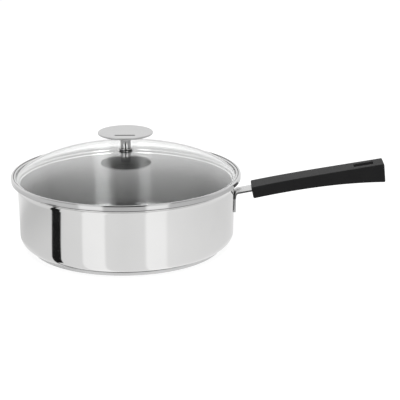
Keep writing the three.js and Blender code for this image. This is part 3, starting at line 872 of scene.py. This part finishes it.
def strap_section(point, tilt, saddle, drawn_in):
    """The strap at a station, bowed to the wall, with the pressed dart and the welds' dents."""
    normal = square_to(tilt)
    dart_share = ease(1 - (point - strap_root).length / (DART_LENGTH / 2))
    width = strap_width(point) - 2 * drawn_in
    section = []
    outline = rounded_rectangle(width, STRAP_THICKNESS, STRAP_EDGE, STRAP_ACROSS, ARC_STEPS // 3)
    for y, depth in outline:
        bow = saddle * (math.hypot(flange_middle, y) - flange_middle)
        dart = DART_DEPTH * dart_share * ease(1 - abs(y) / DART_WIDTH)
        dent = weld_dent(point, y) if saddle == 1 and depth < 0 else 0
        place = point + normal * (depth + bow - dart + dent)
        section.append((place.x, y, place.z))
    return section


def on_shaded_edge(face):
    """Whether a face of the strap is a cut edge of its arm, which gets painted shade."""
    on_arm = face.center.z > STRAP_ROOT_HEIGHT - EDGE_DEPTH and face.center.x < grip_front.x
    return on_arm and abs(face.normal.y) > STEEP


def make_strap():
    stations = flange_stations() + arm_stations()
    mesh = loft("strap", [strap_section(*station) for station in stations])
    dress("strap", mesh, strap_satin, "pan", "satin_steel", "handle_strap")
    # The arm's cut edges get painted shade.
    paint(mesh, edge_shade_steel, on_shaded_edge)


# Grip

grip_middle = heading(GRIP_START_ANGLE) * (GRIP_LENGTH / 2)
grip_tail = heading(GRIP_END_ANGLE) * (GRIP_LENGTH / 2)
grip_start = Vector((GRIP_START, 0, grip_front.z - GRIP_DROP))


def grip_frame(share):
    """Place on the grip's middle line and the directions along it and up from it."""
    along = mix(grip_middle, grip_tail, share).normalized()
    place = grip_start + grip_middle * (2 * share * (1 - share)) + (grip_middle + grip_tail) * share**2
    return place, along, Vector((-along.z, 0, along.x))


def grip_height(share):
    return mix(*GRIP_HEIGHTS, share**GRIP_SWELL)


def grip_section(share, inset):
    place, _, up = grip_frame(share)
    width = mix(*GRIP_WIDTHS, share) - 2 * inset
    height = grip_height(share) - 2 * inset
    edge = mix(*GRIP_EDGES, share) - inset / 2
    section = []
    for y, z in rounded_rectangle(width, height, edge):
        point = place + up * z
        section.append((point.x, y, point.z))
    return section


def make_slot_cutter():
    """The hanging slot with rounded mouths that follow the grip's upper and lower faces."""
    centre_share = 1 - (SLOT_END_WALL + SLOT_LENGTH / 2) / GRIP_LENGTH
    place, along, up = grip_frame(centre_share)
    depths = lip_depths(SLOT_LIP)
    levels = [(-1, depth) for depth in depths] + [(1, depth) for depth in reversed(depths)]
    sections = []
    for side, depth in levels:
        flare = lip_flare(SLOT_LIP, depth)
        length, width = SLOT_LENGTH + 2 * flare, SLOT_WIDTH + 2 * flare
        section = []
        for x, y in rounded_rectangle(length, width, SLOT_CORNER + flare):
            half = grip_height(centre_share + x / GRIP_LENGTH) / 2 - depth
            point = place + along * x + up * (side * half)
            section.append((point.x, y, point.z))
        sections.append(section)
    return loft("slot_cutter", sections)


def make_socket_cutter():
    """The tapered socket for the tang, which starts before the grip's front."""
    half = STRAP_THICKNESS / 2 + FIT_GAP
    stations = ((-SOCKET_LEAD, STRAP_WIDTH), (0, STRAP_WIDTH), (TANG_LENGTH + FIT_GAP, TANG_WIDTH))
    sections = []
    for distance, width in stations:
        place = grip_front + strap_along * distance
        side = width / 2 + FIT_GAP
        corners = ((side, half), (-side, half), (-side, -half), (side, -half))
        points = [(place + strap_up * rise, y) for y, rise in corners]
        sections.append([(point.x, y, point.z) for point, y in points])
    return loft("socket_cutter", sections)


def screw_axis(name, outline, sides=SMALL_SIDES):
    """A turned mesh on the grip screw's axis, square to the tang."""
    mesh = lathe(name, outline, sides)
    place = grip_front + strap_along * SCREW_DISTANCE
    for vertex in mesh.vertices:
        x, y, z = vertex.co
        vertex.co = place + strap_along * x + strap_up * z + Vector((0, y, 0))
    return mesh


def make_screw_cutter():
    radius, below = SCREW_BORE / 2, -2 * GRIP_HEIGHTS[1]
    outline = [(0, below), (radius, below), (radius, SCREW_SEAT), (0, SCREW_SEAT)]
    return screw_axis("screw_cutter", as_points(outline))


def grip_stations():
    """Shares of the grip's length, with the insets that round both ends."""
    front = []
    for i in range(ARC_STEPS):
        angle = math.pi / 2 * i / ARC_STEPS
        inset = GRIP_END_ROUND * (1 - math.sin(angle))
        front.append((GRIP_END_ROUND * (1 - math.cos(angle)) / GRIP_LENGTH, inset))
    end = GRIP_END_ROUND / GRIP_LENGTH
    middle = [(mix(end, 1 - end, i / GRIP_STEPS), 0) for i in range(GRIP_STEPS + 1)]
    rear = [(1 - share, inset) for share, inset in reversed(front)]
    return front + middle + rear


def make_grip():
    mesh = loft("grip_body", [grip_section(*station) for station in grip_stations()])
    mesh = cut(mesh, make_slot_cutter(), make_socket_cutter(), make_screw_cutter())
    piece = dress("grip_moulding", mesh, black, "pan", "black_moulding", "grip")
    # The steel doesn't mirror the grip.
    piece.visible_glossy = False


def make_grip_screw():
    top = SCREW_SEAT - FIT_GAP
    bottom = top - SCREW_TALL
    outline = screw_outline(SCREW_HEAD, SCREW_SHANK, bottom, top, top + SCREW_LENGTH)
    recess = recess_outline(SCREW_RECESS, bottom - SCREW_TALL, top - SCREW_TALL / 3)
    mesh = screw_axis("grip_screw_turned", outline)
    mesh = cut(mesh, screw_axis("hex_recess", recess, HEX_SIDES))
    dress("grip_fixing", mesh, satin, "pan", "satin_steel", "grip_screw")


# Lid

glass_low, glass_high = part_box("lid_glass")
seal_low, seal_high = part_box("rim_seal")
band_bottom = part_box("rim_band")[0].z
band_edge = reach("rim_band")
glass_edge = reach("lid_glass")
rim_top = glass_low.z + GLASS_THICKNESS
groove_bottom = seal_high.z + SEAT_GAP + BAND_SHEET


def make_glass():
    """A dome of two curves: a short bend beside the flat rim, then the shoulder and the crown."""
    slope = Vector((-math.cos(GLASS_SHOULDER_ANGLE), math.sin(GLASS_SHOULDER_ANGLE)))
    rim_inner = Vector((glass_edge - GLASS_RIM_WIDTH, rim_top))
    bend = rim_inner - Vector((GLASS_BEND, 0))
    dome_edge = bend + slope * GLASS_BEND
    pull = 2 / 3
    bend_handles = (mix(rim_inner, bend, pull), mix(dome_edge, bend, pull))
    shoulder = dome_edge + slope * GLASS_SHOULDER_LENGTH
    crown = Vector((GLASS_CROWN_REACH, glass_high.z))
    hole = Vector((GLASS_HOLE_RADIUS, glass_high.z))
    line = [Vector((glass_edge, rim_top))]
    line += bezier(rim_inner, *bend_handles, dome_edge, ARC_STEPS)
    line += bezier(dome_edge, shoulder, crown, hole, DOME_STEPS)
    mesh = lathe("glass", sheet_outline(line, GLASS_THICKNESS))
    dress("glass_dome", mesh, glass, "lid", "clear_glass", "lid_glass")


def make_seal():
    inner, outer = glass_edge - SEAL_DEPTH, reach("rim_seal")
    low, high = seal_low.z, seal_high.z
    line = as_points([(inner, low), (outer, low), (outer, high), (inner, high)])
    mesh = lathe("seal", sheet_outline(line, SEAL_THICKNESS))
    dress("glass_seal", mesh, pale_silicone, "lid", "silicone", "rim_seal")


def round_beside(centre, distance, height):
    """Centre of a round at a height, on the inner side of another centre at a distance."""
    return Vector((centre.x - math.sqrt(distance**2 - (height - centre.y) ** 2), height))


def band_rounds():
    """Centres of the bead, the groove and the leg's edge, each of which touches the one before."""
    leg_top = groove_bottom + GROOVE_DEPTH
    bead = Vector((band_edge - BEAD_RADIUS, leg_top + BEAD_RISE - BEAD_RADIUS))
    groove = round_beside(bead, BEAD_RADIUS + GROOVE_RADIUS, groove_bottom + GROOVE_RADIUS)
    leg = round_beside(groove, GROOVE_RADIUS + LEG_EDGE, leg_top - LEG_DROP - LEG_EDGE)
    return bead, groove, leg


def band_line(bead, groove, leg):
    """The band's outer face, from the hem over the bead and the groove to its edge on the glass."""
    bottom = seal_low.z - SEAT_GAP - BAND_SHEET
    skirt = wall_radius(band_bottom) - PAN_SHEET - SKIRT_CLEARANCE
    hem = (skirt - HEM_RADIUS, band_bottom + HEM_RADIUS)
    fold = 2 * BAND_SHEET
    bead_end = direction(bead, groove)
    leg_start = direction(leg, groove)
    line = arc(hem, HEM_RADIUS, HEM_START, math.tau, 2 * ARC_STEPS)
    line += arc((skirt + fold, bottom - fold), fold, math.pi, math.pi / 2)
    line += arc((band_edge - HEEL_RADIUS, bottom + HEEL_RADIUS), HEEL_RADIUS, -math.pi / 2, 0)
    line += arc(bead, BEAD_RADIUS, 0, bead_end, 2 * ARC_STEPS)
    line += arc(groove, GROOVE_RADIUS, bead_end - math.pi, leg_start - math.pi)
    line += arc(leg, LEG_EDGE, leg_start, math.pi / 2)
    line += [Vector((glass_edge - BAND_TOP_REACH, rim_top + SEAT_GAP + BAND_SHEET))]
    return line


def make_band():
    bead, groove, leg = band_rounds()

    def in_shaded_groove(face):
        beside = abs(face.center.xy.length - groove.x) < GROOVE_SHADE
        return beside and face.center.z > groove_bottom - TINY

    line = band_line(bead, groove, leg)
    mesh = lathe("band", sheet_outline(line, BAND_SHEET, round_end=True))
    dress("lid_band", mesh, band_steel, "lid", "polished_steel", "rim_band")
    # The hem gets the lighter steel as a painted highlight.
    paint(mesh, hem_highlight_steel, lambda face: face.center.z < band_bottom + 2 * HEM_RADIUS)
    # The band's faces beside the groove get painted shade.
    paint(mesh, groove_shade_steel, in_shaded_groove)


# Knob and its fixing

disc_low, disc_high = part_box("knob_disc")


def make_knob_slot():
    """The slot's cutter, with eased edges at both faces of the disc."""
    depths = lip_depths(KNOB_SLOT_LIP)
    levels = [(disc_low.z + d, d) for d in depths] + [(disc_high.z - d, d) for d in reversed(depths)]
    sections = []
    for height, depth in levels:
        flare = lip_flare(KNOB_SLOT_LIP, depth)
        length, width = KNOB_SLOT_LENGTH + 2 * flare, KNOB_SLOT_WIDTH + 2 * flare
        outline = rounded_rectangle(length, width, width / 2 - TINY)
        sections.append([(x, y - KNOB_SLOT_OFFSET, height) for x, y in outline])
    return loft("knob_slot", sections)


def make_disc():
    radius, low, high = reach("knob_disc"), disc_low.z, disc_high.z

    def in_shaded_slot(face):
        return face.center.xy.length < radius - KNOB_EDGE and abs(face.normal.z) < STEEP

    corners = as_points([(0, low), (radius, low), (radius, high), (0, high)])
    mesh = cut(lathe("disc", rounded_polygon(corners, KNOB_EDGE)), make_knob_slot())
    dress("knob_plate", mesh, knob_satin, "lid", "polished_steel", "knob_disc")
    # The slot's walls get painted shade.
    paint(mesh, edge_shade_steel, in_shaded_slot)


def make_ring(name, node, material, slot):
    """A turned ring round the knob's bore in a node's place, with eased edges."""
    low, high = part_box(node)
    mesh = lathe(name, box_outline(KNOB_BORE, reach(node), low.z, high.z), SMALL_SIDES)
    dress(name, mesh, material, "lid", slot, node)


def make_bush():
    low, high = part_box("hole_bush")
    outer, sleeve = reach("hole_bush"), GLASS_HOLE_RADIUS - FIT_GAP
    top = low.z + BUSH_FLANGE
    corners = [(KNOB_BORE, low.z), (outer, low.z), (outer, top)]
    corners += [(sleeve, top), (sleeve, high.z), (KNOB_BORE, high.z)]
    mesh = lathe("bush", rounded_polygon(as_points(corners), SMALL_EDGE), SMALL_SIDES)
    dress("glass_bush", mesh, silicone, "lid", "silicone", "hole_bush")


def make_knob_screw():
    low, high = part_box("knob_screw")
    bottom, tall = low.z, KNOB_SCREW_TALL
    outline = screw_outline(reach("knob_screw"), KNOB_SCREW_SHANK, bottom, bottom + tall, high.z)
    recess = recess_outline(KNOB_RECESS, bottom - tall, bottom + tall / 2)
    mesh = lathe("lid_screw_turned", outline, SMALL_SIDES)
    mesh = cut(mesh, lathe("lid_hex_recess", recess, HEX_SIDES))
    dress("lid_screw", mesh, satin, "lid", "satin_steel", "knob_screw")


def dress_insert():
    """The grip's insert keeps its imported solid, in brass."""
    materials = nodes["grip_insert"].data.materials
    materials.clear()
    materials.append(brass)


# Stage


def make_floor():
    """A pale floor that glows to the eye and through glass and takes soft shadows. Mirrors skip it."""
    size = FLOOR_REACH
    corners = [(-size, -size, 0), (size, -size, 0), (size, size, 0), (-size, size, 0)]
    floor = add_object("floor", make_mesh("floor", corners, [[0, 1, 2, 3]]))
    material, tree, shader = new_material("pale_floor")
    tree.nodes.remove(shader)
    path = add_node(tree, "ShaderNodeLightPath").outputs
    seen = math_node(tree, "MAXIMUM", path["Is Camera Ray"], path["Is Transmission Ray"])
    level = ranged(tree, path["Glossy Depth"], (0.0, 1.0), (FLOOR_GLOW, 0.0))
    glow = add_node(tree, "ShaderNodeEmission", {"Strength": math_node(tree, "MULTIPLY", seen, level)})
    matte = add_node(tree, "ShaderNodeBsdfDiffuse", {"Color": (*grey(FLOOR_SHADE), 1)})
    both = add_node(tree, "ShaderNodeAddShader", {0: glow.outputs[0], 1: matte.outputs[0]})
    tree.links.new(both.outputs[0], tree.nodes["Material Output"].inputs["Surface"])
    floor.data.materials.append(material)
    floor.visible_glossy = False


def radians(limits):
    return tuple(math.radians(limit) for limit in limits)


def within(tree, value, limits, softness):
    """1 between two limits and 0 outside them."""
    low, high = limits
    risen = ranged(tree, value, (low - softness, low + softness))
    fallen = ranged(tree, value, (high - softness, high + softness), (1.0, 0.0))
    return math_node(tree, "MULTIPLY", risen, fallen)


def blend(tree, share, first, second):
    return add_node(tree, "ShaderNodeMix", {0: share, 2: first, 3: second}).outputs[0]


def brightness(tree, angle, stops):
    """The brightness at an angle in radians, between stops in degrees."""
    first, last = stops[0][0], stops[-1][0]
    share = ranged(tree, angle, radians((first, last)))
    ramp = add_node(tree, "ShaderNodeValToRGB", {"Fac": share})
    marks = ramp.color_ramp.elements
    top = max(level for _, level in stops)
    for place, level in stops:
        position = (place - first) / (last - first)
        mark = marks[0] if position == 0 else marks[-1] if position == 1 else marks.new(position)
        mark.color = (*grey(level / top), 1)
    return math_node(tree, "MULTIPLY", ramp.outputs[0], top)


def card_light(tree, azimuth, height):
    """Brightness of the cards below the horizon, with the dark flag."""
    lower = math_node(tree, "SUBTRACT", CARD_LEVEL, height)
    lower = math_node(tree, "MAXIMUM", math_node(tree, "MINIMUM", lower, CARD_REACH), -CARD_REACH)
    drift = math_node(tree, "MULTIPLY_ADD", azimuth, -CARD_SPREAD, CARD_DRIFT)
    place = math_node(tree, "MULTIPLY_ADD", lower, drift, azimuth)
    cards = brightness(tree, place, CARD_STOPS)
    for limits, stops in ((HIGH_RANGE, HIGH_STOPS), (EDGE_HEIGHT, EDGE_STOPS)):
        cards = blend(tree, ranged(tree, height, limits), cards, brightness(tree, place, stops))
    across = within(tree, place, radians(FLAG_AZIMUTH), FLAG_SOFTNESS)
    upright = within(tree, height, FLAG_HEIGHT, FLAG_SOFTNESS)
    return blend(tree, math_node(tree, "MULTIPLY", across, upright), cards, FLAG_LEFT)


def front_light(tree, azimuth, height, path):
    """Brightness of the panels in front, of their lamps in a second reflection, and of the strips."""
    twice = ranged(tree, path["Glossy Depth"], (1.0, 2.0))
    lamps = math_node(tree, "MULTIPLY", within(tree, height, LAMP_HEIGHT, LAMP_SOFTNESS), twice)
    panels = brightness(tree, azimuth, PANEL_STOPS)
    panels = blend(tree, lamps, panels, brightness(tree, azimuth, LAMP_STOPS))
    strips = brightness(tree, azimuth, STRIP_STOPS)
    return blend(tree, path["Is Transmission Ray"], panels, strips)


def make_world():
    """White to the eye, a studio in mirrors and through glass, and soft light on matte surfaces."""
    world = bpy.data.worlds.new("studio")
    bpy.context.scene.world = world
    world.use_nodes = True
    tree = world.node_tree
    path = add_node(tree, "ShaderNodeLightPath").outputs
    ray = add_node(tree, "ShaderNodeTexCoord").outputs["Generated"]
    along = add_node(tree, "ShaderNodeSeparateXYZ", {0: ray}).outputs
    facing = add_node(tree, "ShaderNodeVectorMath", {0: VIEW, 1: ray}, operation="SUBTRACT")
    wall = add_node(tree, "ShaderNodeSeparateXYZ", {0: facing.outputs[0]}).outputs
    azimuth = math_node(tree, "ARCTAN2", math_node(tree, "MULTIPLY", wall["X"], -1.0), wall["Y"])
    pitch = math_node(tree, "ARCTAN2", along["Z"], along["Y"])
    front = front_light(tree, azimuth, along["Z"], path)
    forward = ranged(tree, pitch, radians(PANEL_TURN))
    sky = blend(tree, forward, brightness(tree, pitch, SKY_STOPS), front)
    cards = card_light(tree, azimuth, along["Z"])
    studio = blend(tree, ranged(tree, along["Z"], CARD_TOP), cards, sky)
    mirrored = blend(tree, path["Is Glossy Ray"], BACKGROUND, studio)
    level = blend(tree, path["Is Diffuse Ray"], mirrored, AMBIENT)
    background = tree.nodes["Background"]
    background.inputs["Color"].default_value = (1, 1, 1, 1)
    tree.links.new(level, background.inputs["Strength"])


def make_key_light():
    lamp = bpy.data.lights.new("key", "AREA")
    lamp.energy = KEY_POWER
    lamp.size = KEY_SIZE
    light = add_object("key", lamp)
    light.location = KEY_PLACE
    light.visible_glossy = False
    light.visible_transmission = False


def make_camera():
    data = bpy.data.cameras.new("camera")
    data.lens = CAMERA_LENS
    data.sensor_width = CAMERA_SENSOR
    camera = add_object("camera", data)
    camera.location = CAMERA_PLACE
    camera.rotation_mode = "ZYX"
    camera.rotation_euler = (CAMERA_TILT, 0, CAMERA_ROLL)
    bpy.context.scene.camera = camera


# Build

make_camera()
make_pan()
make_cap()
make_core()
make_strap()
make_grip()
make_grip_screw()
make_glass()
make_seal()
make_band()
make_disc()
make_ring("stem", "knob_stem", stem_steel, "polished_steel")
make_ring("collar", "knob_collar", stem_steel, "polished_steel")
make_ring("gasket", "collar_gasket", silicone, "silicone")
make_ring("washer", "backing_washer", satin, "satin_steel")
make_bush()
make_knob_screw()
dress_insert()
make_floor()
make_world()
make_key_light()
bpy.context.scene.view_settings.view_transform = "Standard"
